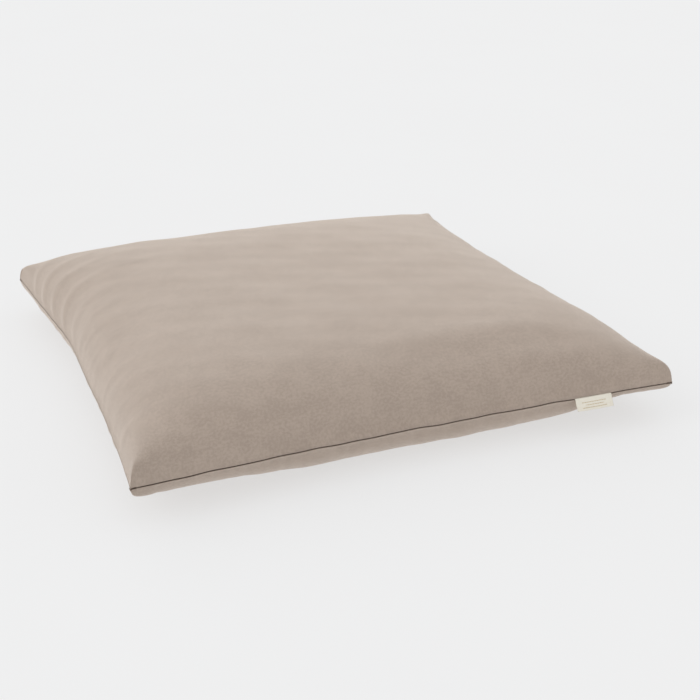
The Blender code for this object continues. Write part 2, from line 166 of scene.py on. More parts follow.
def top_creases(x, y, away):
    left, right, front, back = away
    lift = 0.00045 * soft_ripple(x, y, 3, 0.045, 0.13)
    # Long folds sweep from the left seam towards the back, largest near the corner.
    sweep = [(0.262, 0.0016), (0.214, 0.0026), (0.168, 0.0022),
             (0.118, 0.0024), (0.062, 0.0014), (0.010, 0.0009)]
    lift = lift + gathers(y, left, sweep, 0.085, 0.0105, lean=0.050)
    # Short gathers come from every seam, closest together along the front.
    lift = lift + gathers(y, left, scattered(5, -0.30, 0.0, 0.034, 0.0010), 0.04, 0.007, lean=0.015)
    lift = lift + gathers(y, right, scattered(6, -0.31, 0.31, 0.036, 0.0013), 0.055, 0.009, lean=-0.02)
    lift = lift + gathers(x, back, scattered(7, -0.31, 0.31, 0.035, 0.0012), 0.05, 0.009, lean=0.02)
    lift = lift + gathers(x, front, scattered(8, -0.31, 0.31, 0.024, 0.0009), 0.022, 0.006)
    lift = lift + gathers(x, front, scattered(9, -0.07, 0.12, 0.017, 0.0013), 0.03, 0.005)
    # Two faint ridges run beside the left seam.
    lift = lift + 0.0006 * hump(x + 0.305 + 0.02 * y, 0.007) * hump(y - 0.02, 0.16)
    lift = lift + 0.0005 * hump(x + 0.278 + 0.03 * y, 0.008) * hump(y - 0.05, 0.12)
    # A soft swell and the hollow under it cross the right of the front.
    along_swell = 1 / (1 + np.exp(-(x - 0.035) / 0.012)) * hump(np.maximum(0, x - 0.16), 0.09)
    lift = lift + 0.0024 * along_swell * hump(y + 0.243 + 0.06 * (x - 0.1), 0.021)
    lift = lift - 0.0012 * along_swell * hump(y + 0.284 + 0.04 * (x - 0.1), 0.014)
    # The filling is fuller in the right front corner and thinner towards the right of the back.
    lift = lift + 0.0030 * hump(x - 0.300, 0.06) * hump(y + 0.19, 0.11)
    lift = lift - 0.0034 * hump(x - 0.20, 0.11) * hump(y - 0.25, 0.08)
    return lift


def bottom_creases(x, y, away):
    left, right, front, back = away
    lift = 0.0004 * soft_ripple(x, y, 13, 0.045, 0.13)
    # Single pinches draw the cloth in under the front seam, between finer gathers.
    pinches = [(-0.318, -0.0020), (-0.212, -0.0016), (-0.165, -0.0020), (-0.085, -0.0015), (0.0, -0.0019),
               (0.045, -0.0014), (0.150, -0.0017), (0.290, -0.0022)]
    lift = lift + gathers(x, front, pinches, 0.030, 0.0050)
    lift = lift + gathers(x, front, scattered(15, -0.32, 0.32, 0.022, 0.0012), 0.03, 0.006)
    for seed, along, distance in ((16, y, left), (17, y, right), (18, x, back)):
        lift = lift + gathers(along, distance, scattered(seed, -0.32, 0.32, 0.026, 0.0016), 0.05, 0.008)
    lift = lift + 0.0020 * hump(x - 0.05, 0.16) * hump(front - 0.035, 0.03)
    return lift


def slackened(points, u, v, side):
    """The same points where the filling leaves its cover slack: a dip in the top, a shallower underside."""
    x, y = points[..., 0], points[..., 1]
    to_seam = HALF * np.minimum(1 - np.abs(u), 1 - np.abs(v))
    if side > 0:
        dip = 0.0085 * hump(x - 0.270, 0.10) * hump(y - 0.200, 0.12)
        z = points[..., 2] - dip * (1 - np.exp(-to_seam / 0.02))
    else:
        right = hump(x - 0.315, 0.085) * hump(y + 0.33, 0.10)
        left = hump(x + 0.26, 0.075) * hump(y + 0.33, 0.07)
        level = seam_level(u, v)
        z = level - (level - points[..., 2]) * (1 - 0.50 * right - 0.22 * left)
    return np.stack([x, y, z], -1)


def corner_lip(u, v, side):
    """How far the doubled cloth in a corner stands off the seam."""
    to_corner = np.hypot(HALF * (1 - np.abs(u)), HALF * (1 - np.abs(v)))
    to_seam = HALF * np.minimum(1 - np.abs(u), 1 - np.abs(v))
    height = LIP_ABOVE if side > 0 else -LIP_BELOW
    return height * np.exp(-(to_corner / 0.030) ** 2) * (1 - np.exp(-to_seam / 0.0012))


def drawn_in(x, y):
    """The left seam is drawn in a little more than the rest of it, behind its middle."""
    return 0.0055 * hump(y - 0.095, 0.085) * smooth_step(-x, 0.15, 0.34)


LIP_ABOVE, LIP_BELOW = 0.009, 0.003
FLARE_REACH = 0.013


def flare(away, amount):
    """How far the wall leans in above a seam that its filling does not reach."""
    return amount * away / FLARE_REACH * np.exp(1 - away / FLARE_REACH)


def seam_wave(along, seed):
    """A sewn edge's small wander up and down, none at the corners."""
    ends = np.clip(1 - np.abs(along / HALF) ** 8, 0, 1)
    return 0.0004 * ends * soft_ripple(along, 0 * along, seed, 0.025, 0.10, 8)


# -------------------------------------------------------- cover, how it settles
# Both panels are cut flat and square, then stretched over a filling that is shorter along its seams than
# across its middle. Settling the real cut size over the form draws up the spare cloth: pleats along the seams
# and slack folds towards the corners. Only those folds are kept, and they are laid over the form above.

SETTLE_STEPS, SETTLE_FRAMES = 90, 20
UNEVEN = 0.0008  # the filling's usual unevenness, which decides where the folds start
INNER_HOLD = 0.03  # how firmly the filling holds the cloth away from its seams
FINEST_FOLD, WIDEST_FOLD = 0.9, 8.0  # in steps of the settling grid


def blur_rows(count, reach):
    index = np.arange(count + 1)
    weights = np.exp(-((index[:, None] - index[None]) / reach) ** 2 / 2)
    return weights / weights.sum(1, keepdims=True)


def finer_rows(coarse, fine):
    """Weights that carry values smoothly from a coarse grid to a finer one."""
    place = np.linspace(0, coarse, fine + 1)
    start = np.clip(np.floor(place).astype(int), 0, coarse - 1)
    t = place - start
    spline = {-1: -t / 2 + t ** 2 - t ** 3 / 2, 0: 1 - 5 * t ** 2 / 2 + 3 * t ** 3 / 2,
              1: t / 2 + 2 * t ** 2 - 3 * t ** 3 / 2, 2: -t ** 2 / 2 + t ** 3 / 2}
    weights = np.zeros((fine + 1, coarse + 1))
    for offset, share in spline.items():
        np.add.at(weights, (np.arange(fine + 1), np.clip(start + offset, 0, coarse)), share)
    return weights


def two_layer_grid(count):
    """Grids of vertex numbers for two square layers that share their edge, and where they don't."""
    upper = np.arange((count + 1) ** 2).reshape(count + 1, count + 1)
    inner = np.zeros_like(upper, bool)
    inner[1:-1, 1:-1] = True
    lower = upper.copy()
    lower[inner] = upper.size + np.arange(inner.sum())
    return upper, lower, inner


def grid_quads(index):
    return np.stack([index[:-1, :-1], index[1:, :-1], index[1:, 1:], index[:-1, 1:]], -1).reshape(-1, 4)


def mesh_piece(name, points, faces, uv=None):
    mesh = bpy.data.meshes.new(name)
    mesh.from_pydata(np.asarray(points).tolist(), [], [list(map(int, face)) for face in faces])
    if uv is not None:
        layer = mesh.uv_layers.new(name="cloth")
        corner_vertex = np.empty(len(mesh.loops), int)
        mesh.loops.foreach_get("vertex_index", corner_vertex)
        layer.data.foreach_set("uv", np.asarray(uv, float)[corner_vertex].ravel())
    mesh.polygons.foreach_set("use_smooth", [True] * len(mesh.polygons))
    mesh.update()
    piece = bpy.data.objects.new(name, mesh)
    bpy.context.collection.objects.link(piece)
    return piece


def layer_quads(upper, lower):
    return np.concatenate([grid_quads(upper), grid_quads(lower)[:, ::-1]])


def settled_folds():
    """How high the settled cloth stands off the form, on the top and on the underside."""
    steps, length = even_steps(SETTLE_STEPS)
    u, v = np.meshgrid(steps, steps, indexing="ij")
    upper, lower, inner = two_layer_grid(SETTLE_STEPS)
    forms = [stuffed_form(u, v, side) for side in (1, -1)]
    start = np.concatenate([forms[0].reshape(-1, 3), forms[1][inner]])
    soften = blur_rows(SETTLE_STEPS, 3.5)
    uneven = soften @ np.random.default_rng(4).normal(size=(2, *u.shape)) @ soften.T
    uneven *= UNEVEN / uneven.std() * inner
    flat_place = np.arange(SETTLE_STEPS + 1) * length / SETTLE_STEPS - length / 2
    cut = np.stack([*np.meshgrid(flat_place, flat_place, indexing="ij"), np.zeros_like(u)], -1)
    flat = np.concatenate([cut.reshape(-1, 3), cut[inner]])
    moved = start.copy()
    moved[:, 2] += np.concatenate([uneven[0].ravel(), uneven[1][inner]])

    cloth = mesh_piece("settling_cloth", moved, layer_quads(upper, lower))
    held = cloth.vertex_groups.new(name="held")
    held.add(list(range(len(moved))), INNER_HOLD, "REPLACE")
    held.add(upper[~inner].tolist(), 1.0, "REPLACE")
    cloth.shape_key_add(name="Basis")
    cloth.shape_key_add(name="cut_flat").data.foreach_set("co", flat.ravel())
    modifier = cloth.modifiers.new("settle", "CLOTH")
    settings = modifier.settings
    settings.quality, settings.mass, settings.air_damping = 5, 0.3, 1.0
    settings.tension_stiffness = settings.compression_stiffness = 15
    settings.shear_stiffness, settings.bending_stiffness = 5, 0.5
    settings.vertex_group_mass, settings.pin_stiffness = "held", 1
    settings.rest_shape_key = cloth.data.shape_keys.key_blocks["cut_flat"]
    settings.use_pressure, settings.uniform_pressure_force = True, 0.4
    settings.effector_weights.gravity = 0
    modifier.collision_settings.use_collision = False
    modifier.point_cache.frame_end = SETTLE_FRAMES
    for number in range(1, SETTLE_FRAMES + 1):
        bpy.context.scene.frame_set(number)
    evaluated = cloth.evaluated_get(bpy.context.evaluated_depsgraph_get()).to_mesh()
    settled = np.empty(len(moved) * 3)
    evaluated.vertices.foreach_get("co", settled)
    settled = settled.reshape(-1, 3)
    bpy.context.scene.frame_set(1)
    bpy.data.objects.remove(cloth, do_unlink=True)

    fine, wide = blur_rows(SETTLE_STEPS, FINEST_FOLD), blur_rows(SETTLE_STEPS, WIDEST_FOLD)
    folds = []
    for form, index, side in ((forms[0], upper, 1), (forms[1], lower, -1)):
        height = ((settled[index] - form) * grid_normals(form) * side).sum(-1)
        height = fine @ height @ fine.T
        folds.append(height - wide @ height @ wide.T)
    return folds


# -------------------------------------------------------- cover, its two panels
# Each panel is one square of cotton about 763 mm wide. It comes down the wall, turns in over a thin roll at
# the seam and ends 12 mm inside; along the zip it turns up inside instead, as a hem. The cloth is 1 mm thick.

CLOTH = 0.0010
ALLOWANCE = 0.012
PANEL_STEPS = 216
# Each step of the turn at the edge: how far in from the edge and how far from the seam's level.
SEWN_EDGE = ((0.0, 0.0017), (0.00015, 0.0009), (0.0006, 0.00045), (0.0014, 0.0003), (0.0028, 0.00015),
             (0.0070, 0.00015), (ALLOWANCE, 0.00015))
HEMMED_EDGE = ((0.0, 0.0021), (0.0001, 0.0016), (0.00045, 0.0012), (0.0011, 0.0010), (0.0022, 0.0021),
               (0.0026, 0.0070), (0.0036, 0.0120))


def seam_distances(count, cell):
    """The cloth's distance from the left, right, front and back seams at every grid point."""
    index = np.arange(count + 1) * cell
    across, along = np.meshgrid(index, index, indexing="ij")
    return across, count * cell - across, along, count * cell - along


def edge_loop(count):
    """Grid places round the edge, counter-clockwise from the front left corner, and the way in from each."""
    last = count
    loop = [(i, 0, (0, 1)) for i in range(0, last)]
    loop += [(last, j, (-1, 0)) for j in range(0, last)]
    loop += [(i, last, (0, -1)) for i in range(last, 0, -1)]
    loop += [(0, j, (1, 0)) for j in range(last, 0, -1)]
    corners = {(0, 0): (1, 1), (last, 0): (-1, 1), (last, last): (-1, -1), (0, last): (1, -1)}
    places = np.array([(i, j) for i, j, _ in loop])
    ways = np.array([corners.get((i, j), way) for i, j, way in loop], float)
    return places, ways


def thicken(piece, name, thickness, offset):
    layer = piece.modifiers.new(name, "SOLIDIFY")
    layer.thickness, layer.offset = thickness, offset
    return layer


def sewn_panel(name, surface, cell, side, sewn, hemmed, zipped, cloth):
    """A cloth panel: its surface, the turn at its edge, and the cloth's thickness inside."""
    count = len(surface) - 1
    places, ways = edge_loop(count)
    edge = surface[places[:, 0], places[:, 1]]
    to_corner = np.minimum(places, count - places).max(axis=1) * cell
    is_corner = to_corner == 0
    room = np.where(is_corner, cell, to_corner)
    share = zipped(edge[:, 0]) * (places[:, 1] == count)
    rings, outward = [], []
    for (inset, rise), (hem_inset, hem_rise) in zip(sewn, hemmed):
        depth = inset * (1 - share) + hem_inset * share
        reach = np.where(depth > 0, room * (1 - np.exp(-depth / room)), 0) * np.where(is_corner, 0.5, 1)
        ring = edge.copy()
        ring[:, :2] += ways * reach[:, None]
        ring[:, 2] += side * (rise * (1 - share) + hem_rise * share)
        rings.append(ring)
        outward.append(inset)
    grid = surface.copy()
    grid[places[:, 0], places[:, 1]] = rings[0]
    points = np.concatenate([grid.reshape(-1, 3)] + rings[1:])

    index = np.arange((count + 1) ** 2).reshape(count + 1, count + 1)
    quads = [grid_quads(index)]
    previous = index[places[:, 0], places[:, 1]]
    along, across = np.meshgrid(np.arange(count + 1) * cell, np.arange(count + 1) * cell, indexing="ij")
    uv = [np.stack([along, across], -1).reshape(-1, 2)]
    for k in range(1, len(rings)):
        ring_index = len(index) ** 2 + (k - 1) * len(places) + np.arange(len(places))
        quads.append(np.stack([previous, ring_index, np.roll(ring_index, -1), np.roll(previous, -1)], -1))
        uv.append(places * cell - ways * outward[k])
        previous = ring_index
    faces = np.concatenate(quads)
    if side < 0:
        faces = faces[:, ::-1]
    piece = mesh_piece(name, points, faces, np.concatenate(uv))
    depth = np.zeros(len(points))
    for k in range(1, len(rings)):
        start = len(index) ** 2 + (k - 1) * len(places)
        depth[start:start + len(places)] = min(1.0, k / 2)
    # How far each point has turned into the seam. The cover's colour uses this to paint shade in the groove.
    piece.data.attributes.new("in_seam", "FLOAT", "POINT").data.foreach_set("value", depth)
    thicken(piece, "cloth", cloth, -1).use_quality_normals = True
    return piece


def zip_share(x):
    return smooth_step(-np.abs(x), -ZIP_HALF, -ZIP_HALF + 0.007)


FOLDS = settled_folds()
FOLD_SHARE = {1: (0.34, 0.10), -1: (0.40, 0.25)}  # how much of them shows near the seams and in the middle
FOLD_CAP, DEEPEST = 0.0020, 0.0028


def cover_surface(side, count):
    steps, length = even_steps(count)
    cell = length / count
    u, v = np.meshgrid(steps, steps, indexing="ij")
    points = slackened(stuffed_form(u, v, side), u, v, side)
    away = seam_distances(count, cell)
    left, right, front, back = away
    x, y = points[..., 0].copy(), points[..., 1].copy()
    points[..., 2] += corner_lip(u, v, side)
    points[..., 0] += drawn_in(x, y)
    creases = top_creases if side > 0 else bottom_creases
    nearest = np.minimum.reduce(away)
    lift = creases(x, y, away)
    if FOLDS is not None:
        finer = finer_rows(SETTLE_STEPS, count)
        near_seam, in_middle = FOLD_SHARE[side]
        share = in_middle + (near_seam - in_middle) * np.exp(-(nearest / 0.11) ** 2)
        lift = lift + FOLD_CAP * np.tanh(share * (finer @ FOLDS[(1 - side) // 2] @ finer.T) / FOLD_CAP)
        lift = np.where(lift < 0, DEEPEST * np.tanh(lift / DEEPEST), lift)
    over_zip = smooth_step(-np.abs(x), -0.305, -0.270) * smooth_step(-back, -0.042, -0.024)
    lift = lift + over_zip * (np.maximum(lift, 0) - lift)  # the tapes hold the cloth out
    lift = lift * (1 - np.exp(-nearest / 0.006))
    points = points + side * grid_normals(points) * lift[..., None]
    front_flare = 0.0022 + 0.0062 * smooth_step(x, -0.30, -0.06) * smooth_step(-x, -0.345, -0.25)
    corner_fade = smooth_step(np.minimum(left, right), 0.0, 0.06)
    side_fade = smooth_step(np.minimum(front, back), 0.0, 0.06)
    amount = 1.0 if side > 0 else 0.5
    points[..., 1] += flare(front, amount * front_flare) * corner_fade
    points[..., 1] -= flare(back, amount * 0.0022) * corner_fade * (1 - over_zip)
    points[..., 0] += flare(left, amount * 0.0024) * side_fade
    points[..., 0] -= flare(right, amount * 0.0020) * side_fade
    for along, distance, seed in ((x, front, 21), (y, left, 22), (y, right, 23)):
        points[..., 2] += seam_wave(along, seed) * np.exp(-distance / 0.012)
    if side < 0:
        points[..., 2] = np.maximum(points[..., 2], 0.0003)
    return points, cell, length


# The same cotton covers both panels: taupe, brushed to a short nap, with a fine plain weave under it.
TAUPE = (0.412, 0.333, 0.277)
TAUPE_PALE = (0.478, 0.391, 0.328)
TAUPE_SEAM_SHADE = (0.105, 0.070, 0.050)  # painted shade down in the seam's groove, where the cloth turns in
THREAD_PITCH = 0.00052


class Nodes:
    """Adds nodes to a tree and links values or sockets to their inputs."""

    def __init__(self, tree):
        self.tree = tree

    def add(self, kind, settings=(), **inputs):
        node = self.tree.nodes.new(kind)
        for name, value in dict(settings).items():
            setattr(node, name, value)
        for name, value in inputs.items():
            place = int(name[2:]) if name.startswith("in") and name[2:].isdigit() else name.replace("_", " ")
            self.put(node.inputs[place], value)
        return node

    def put(self, socket, value):
        if isinstance(value, bpy.types.NodeSocket):
            self.tree.links.new(value, socket)
        elif isinstance(value, tuple) and len(value) == 3 and socket.type == "RGBA":
            socket.default_value = (*value, 1)
        else:
            socket.default_value = value

    def math(self, operation, *values):
        node = self.add("ShaderNodeMath", {"operation": operation})
        for socket, value in zip(node.inputs, values):
            self.put(socket, value)
        return node.outputs[0]

    def mix(self, factor, first, second):
        node = self.add("ShaderNodeMix", {"data_type": "RGBA"})
        self.put(node.inputs["Factor"], factor)
        self.put(node.inputs[6], first)
        self.put(node.inputs[7], second)
        return node.outputs[2]

    def on_cloth(self):
        return self.add("ShaderNodeUVMap", {"uv_map": "cloth"}).outputs["UV"]

    def on_object(self):
        return self.add("ShaderNodeTexCoord").outputs["Object"]

    def noise(self, vector, scale, detail=3.0, roughness=0.5):
        return self.add("ShaderNodeTexNoise", Vector=vector, Scale=scale, Detail=detail,
                        Roughness=roughness).outputs["Fac"]

    def spread(self, value, low, high, to_low=0.0, to_high=1.0):
        node = self.add("ShaderNodeMapRange", {"interpolation_type": "SMOOTHSTEP"})
        for name, number in (("From Min", low), ("From Max", high), ("To Min", to_low), ("To Max", to_high)):
            node.inputs[name].default_value = number
        self.put(node.inputs["Value"], value)
        return node.outputs["Result"]


def effect_group(name, inputs, outputs):
    tree = bpy.data.node_groups.new(name, "ShaderNodeTree")
    for title, kind, value in inputs:
        socket = tree.interface.new_socket(name=title, in_out="INPUT", socket_type="NodeSocket" + kind)
        if value is not None:
            socket.default_value = value
    for title, kind in outputs:
        tree.interface.new_socket(name=title, in_out="OUTPUT", socket_type="NodeSocket" + kind)
    return tree, Nodes(tree), tree.nodes.new("NodeGroupInput"), tree.nodes.new("NodeGroupOutput")


def plain_weave():
    """Threads that pass over and under each other, a pitch apart. Place is in metres."""
    tree, make, given, result = effect_group(
        "plain_weave", [("Place", "Vector", None), ("Pitch", "Float", 0.0005)],
        [("Height", "Float"), ("Thread Tone", "Float")])
    place = make.add("ShaderNodeSeparateXYZ", in0=given.outputs["Place"])
    across = make.math("DIVIDE", place.outputs[0], given.outputs["Pitch"])
    along = make.math("DIVIDE", place.outputs[1], given.outputs["Pitch"])
    columns, rows = make.math("FLOOR", across), make.math("FLOOR", along)
    over = make.math("PINGPONG", make.math("ADD", columns, rows), 1.0)
    warp = make.math("ABSOLUTE", make.math("SINE", make.math("MULTIPLY", across, math.pi)))
    weft = make.math("ABSOLUTE", make.math("SINE", make.math("MULTIPLY", along, math.pi)))
    under = make.math("SUBTRACT", 1.0, over)
    height = make.math("ADD", make.math("MULTIPLY", warp, over), make.math("MULTIPLY", weft, under))
    tones = [make.add("ShaderNodeTexWhiteNoise", {"noise_dimensions": "1D"}, W=thread).outputs["Value"]
             for thread in (columns, rows)]
    tone = make.math("ADD", make.math("MULTIPLY", tones[0], over), make.math("MULTIPLY", tones[1], under))
    make.put(result.inputs["Height"], height)
    make.put(result.inputs["Thread Tone"], tone)
    return tree


def brushed_nap():
    """Short raised fibres: a fine tangle, flecks, softer patches where it lies over, and faint clouds."""
    tree, make, given, result = effect_group(
        "brushed_nap", [("Place", "Vector", None)],
        [("Height", "Float"), ("Flecks", "Float"), ("Patches", "Float"), ("Cloud", "Float")])
    place = given.outputs["Place"]
    fibres = make.noise(place, 1900.0, 4.0, 0.65)
    tufts = make.noise(place, 420.0, 3.0, 0.6)
    make.put(result.inputs["Height"], make.math("ADD", fibres, make.math("MULTIPLY", tufts, 0.8)))
    make.put(result.inputs["Flecks"], make.spread(make.noise(place, 280.0, 3.0, 0.6), 0.36, 0.64, -0.5, 0.5))
    make.put(result.inputs["Patches"], make.spread(make.noise(place, 46.0, 4.0, 0.62), 0.36, 0.66))
    make.put(result.inputs["Cloud"], make.spread(make.noise(place, 11.0, 2.0, 0.5), 0.36, 0.64))
    return tree


WEAVE = plain_weave()
NAP = brushed_nap()


def place_group(make, tree, **inputs):
    return make.add("ShaderNodeGroup", {"node_tree": tree}, **inputs).outputs


def new_material(name):
    material = bpy.data.materials.new(name)
    material.use_nodes = True
    tree = material.node_tree
    tree.nodes.clear()
    make = Nodes(tree)
    shader = make.add("ShaderNodeBsdfPrincipled")
    output = make.add("ShaderNodeOutputMaterial")
    tree.links.new(shader.outputs[0], output.inputs["Surface"])
    return material, make, shader


def set_surface(make, shader, colour, roughness):
    make.put(shader.inputs["Base Color"], colour)
    make.put(shader.inputs["Roughness"], roughness)


def set_bump(make, shader, height, distance, strength=1.0):
    bump = make.add("ShaderNodeBump", Strength=strength, Distance=distance, Height=height)
    make.put(shader.inputs["Normal"], bump.outputs["Normal"])


def cover_cotton():
    material, make, shader = new_material("cover_cotton")
    cloth = make.on_cloth()
    weave = place_group(make, WEAVE, Place=cloth, Pitch=THREAD_PITCH)
    nap = place_group(make, NAP, Place=cloth)
    patches = make.math("MULTIPLY", nap["Patches"], 0.55)
    tone = make.math("ADD", patches, make.math("MULTIPLY", nap["Cloud"], 0.25))
    tone = make.math("ADD", tone, make.math("MULTIPLY", weave["Thread Tone"], 0.20))
    tone = make.math("ADD", tone, make.math("MULTIPLY", nap["Flecks"], 0.80))
    # Painted shade: the colour darkens towards the seam's dark brown as the cloth turns into the seam.
    in_seam = make.add("ShaderNodeAttribute", {"attribute_name": "in_seam"}).outputs["Fac"]
    shaded = make.mix(make.spread(in_seam, 0.15, 1.0), make.mix(tone, TAUPE, TAUPE_PALE), TAUPE_SEAM_SHADE)
    set_surface(make, shader, shaded, make.spread(nap["Patches"], 0.0, 1.0, 0.86, 0.95))
    shader.inputs["Specular IOR Level"].default_value = 0.25
    shader.inputs["Sheen Weight"].default_value = 1.0
    shader.inputs["Sheen Roughness"].default_value = 0.45
    shader.inputs["Sheen Tint"].default_value = (1.0, 0.90, 0.81, 1)
    threads = make.math("MULTIPLY", weave["Height"], 0.5)
    set_bump(make, shader, make.math("ADD", threads, nap["Height"]), 0.00016)
    return material


COTTON = cover_cotton()
for side, node in ((1, "cover_top_panel"), (-1, "cover_bottom_panel")):
    surface, cell, length = cover_surface(side, PANEL_STEPS)
    panel = sewn_panel(f"{node}_cloth", surface, cell, side, SEWN_EDGE, HEMMED_EDGE, zip_share, CLOTH)
    panel.data.materials.append(COTTON)
    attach(panel, "cushion")
    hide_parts(node)


# --------------------------------------------------- overlocks on the raw edges
# Inside each sewn seam the two raw edges are bound together by an overlock: a polyester thread looped round
# them every 3 mm. It is sewn with the seam and never shows from outside.

STITCH = 0.003
THREAD = 0.00026
BOUND_IN, BOUND_HALF, BOUND_RISE = 0.0100, 0.0021, 0.0017


def thread_tube(path, outward, radius, sides=5):
    """Points and faces of a round thread along a path. outward points off the path at each point."""
    path, outward = np.asarray(path, float), np.asarray(outward, float)
    tangent = np.gradient(path, axis=0)
    tangent /= np.linalg.norm(tangent, axis=1, keepdims=True)
    first = outward - (outward * tangent).sum(1, keepdims=True) * tangent
    first /= np.linalg.norm(first, axis=1, keepdims=True)
    second = np.cross(tangent, first)
    turn = np.linspace(0, 2 * math.pi, sides, endpoint=False)
    ring = np.cos(turn)[None, :, None] * first[:, None] + np.sin(turn)[None, :, None] * second[:, None]
    points = (path[:, None] + radius * ring).reshape(-1, 3)
    index = np.arange(len(path) * sides).reshape(len(path), sides)
    nearby = np.roll(index, -1, axis=1)
    walls = np.stack([index[:-1], nearby[:-1], nearby[1:], index[1:]], -1).reshape(-1, 4).tolist()
    return points, walls + [index[0, ::-1].tolist(), index[-1].tolist()]


def joined(parts):
    """Several sets of points and faces as one."""
    points, faces, start = [], [], 0
    for part_points, part_faces in parts:
        points.append(np.asarray(part_points, float))
        faces += [[vertex + start for vertex in face] for face in part_faces]
        start += len(part_points)
    return np.concatenate(points), faces


def seam_path(side, places):
    """The seam line along one side, its way in, and its level, at places from -1 to 1."""
    ones = np.ones_like(places)
    u, v = {"front": (places, -ones), "back": (places, ones),
            "left": (-ones, places), "right": (ones, places)}[side]
    x, y = plan_points(u, v)
    way = {"front": (0, 1), "back": (0, -1), "left": (1, 0), "right": (-1, 0)}[side]
    return x, y, np.array(way, float), seam_level(u, v)


def thread_finish(name, colour, pale, sheen):
    """Twisted filament thread: its plies run slantwise round it."""
    material, make, shader = new_material(name)
    place = make.on_object()
    plies = make.add("ShaderNodeTexWave", {"wave_type": "BANDS", "bands_direction": "DIAGONAL"},
                     Vector=place, Scale=1400.0, Distortion=2.0, Detail=1.0).outputs["Fac"]
    set_surface(make, shader, make.mix(plies, colour, pale), make.spread(plies, 0.0, 1.0, 0.62, 0.48))
    shader.inputs["Sheen Weight"].default_value = sheen
    set_bump(make, shader, plies, 0.00008)
    return material


OVERLOCK_THREAD = thread_finish("overlock_thread", (0.34, 0.275, 0.235), (0.46, 0.39, 0.34), 0.2)
SEAMS = {"overlock_front": "front", "overlock_left": "left", "overlock_right": "right",
         "overlock_back_left": "back", "overlock_back_right": "back"}
for node, side in SEAMS.items():
    low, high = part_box(node)
    along_x = side in ("front", "back")
    start, end = (low.x, high.x) if along_x else (low.y, high.y)
    stitches = int((end - start) / STITCH)
    places = np.linspace(start, end, stitches * 9) / HALF
    x, y, way, level = seam_path(side, np.clip(places, -1, 1))
    turns = np.linspace(0, 2 * math.pi * stitches, len(places))
    inset = BOUND_IN + BOUND_HALF * np.cos(turns)
    rise = BOUND_RISE * np.sin(turns)
    path = np.stack([x + way[0] * inset, y + way[1] * inset, level + rise], -1)
    outward = np.stack([way[0] * np.cos(turns), way[1] * np.cos(turns), np.sin(turns)], -1)
    loops = [thread_tube(path, outward, THREAD, 4)]
    for row in (BOUND_IN - BOUND_HALF, BOUND_IN + BOUND_HALF):
        chain = np.stack([x + way[0] * row, y + way[1] * row,
                          level + 0.0014 + 0.0003 * np.cos(turns)], -1)[::3]
        loops.append(thread_tube(chain, np.tile((0.0, 0.0, 1.0), (len(chain), 1)), THREAD, 4))
    binding = mesh_piece(f"{node}_loops", *joined(loops))
    binding.data.materials.append(OVERLOCK_THREAD)
    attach(binding, "cushion")
    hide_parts(node)


# ------------------------------------------------------------------ woven label
# One cream ribbon 50 mm wide, folded double with its ends sewn into the front seam near the right corner, so
# that it hangs over the seam like a small flap. Thin gold stitches are woven across its face.

hinge = next(joint for joint in frame["record"]["behaviour"]["joints"] if joint["name"] == "label_lift")
LABEL_FOLD = Vector(hinge["pos_m"])
LABEL_ALONG = -Vector(hinge["axis"]).normalized()
LABEL_OUT = LABEL_ALONG.cross(Vector((0, 0, 1))).normalized()
LABEL_UP = LABEL_OUT.cross(LABEL_ALONG)
LABEL_WIDTH = 0.050
LABEL_DROP = 0.0155
LABEL_TAIL = 0.0105
LEAN_AT_FOLD, LEAN_AT_FOOT = math.radians(23), math.radians(44)  # it stands out from hanging straight down
LAYER = 0.00022  # half way between the ribbon's two layers
RIBBON = 0.00032


def ribbon_line():
    """The folded ribbon seen along the seam: how far out and up from the fold, and the length so far."""
    hang = np.linspace(0.0006, LABEL_DROP, 12)
    lean = LEAN_AT_FOLD + (LEAN_AT_FOOT - LEAN_AT_FOLD) * hang / LABEL_DROP
    step = np.diff(hang, prepend=0)
    middle = np.stack([np.cumsum(np.sin(lean) * step), -np.cumsum(np.cos(lean) * step)], -1)
    facing = np.stack([np.cos(lean), np.sin(lean)], -1)
    front, behind = middle + LAYER * facing, middle - LAYER * facing
    foot = middle[-1] + (middle[-1] - middle[-2]) * 0.15
    into_seam = np.linspace(LABEL_TAIL, 0.0008, 7)
    tail = np.stack([-into_seam, 0 * into_seam + LAYER], -1)
    line = np.concatenate([tail, [(-0.0001, LAYER)], front, [foot], behind[::-1], tail[::-1] * (1, -1)])
    length = np.concatenate([[0], np.cumsum(np.linalg.norm(np.diff(line, axis=0), axis=1))])
    return line, length


line, ribbon_length = ribbon_line()
COLUMNS = 60
across = np.linspace(-0.5, 0.5, COLUMNS + 1)
points, uv = [], []
for share in across:
    # The ribbon bows a little, and its corners soften where it folds at the foot.
    for (out, up), so_far in zip(line, ribbon_length):
        hanging = smooth_step(-up, 0.001, LABEL_DROP)
        out = out + 0.0005 * hanging * math.cos(share * 5.0) + 0.0002 * hanging * math.sin(share * 17)
        narrow = 1 - 0.022 * hanging ** 5 * smooth_step(abs(share), 0.44, 0.5)
        spot = LABEL_FOLD + LABEL_ALONG * (share * LABEL_WIDTH * narrow) + LABEL_OUT * out + LABEL_UP * up
        points.append(spot[:])
        uv.append((share * LABEL_WIDTH, so_far))
faces = grid_quads(np.arange(len(points)).reshape(COLUMNS + 1, len(line)).T)
label = mesh_piece("woven_label_ribbon", points, faces, uv)
thicken(label, "ribbon", RIBBON, 0)

FACE_TOP = LABEL_TAIL + 0.0012
CREAM, CREAM_SHADE = (0.95, 0.91, 0.80), (0.88, 0.82, 0.70)
GOLD = (0.50, 0.34, 0.12)


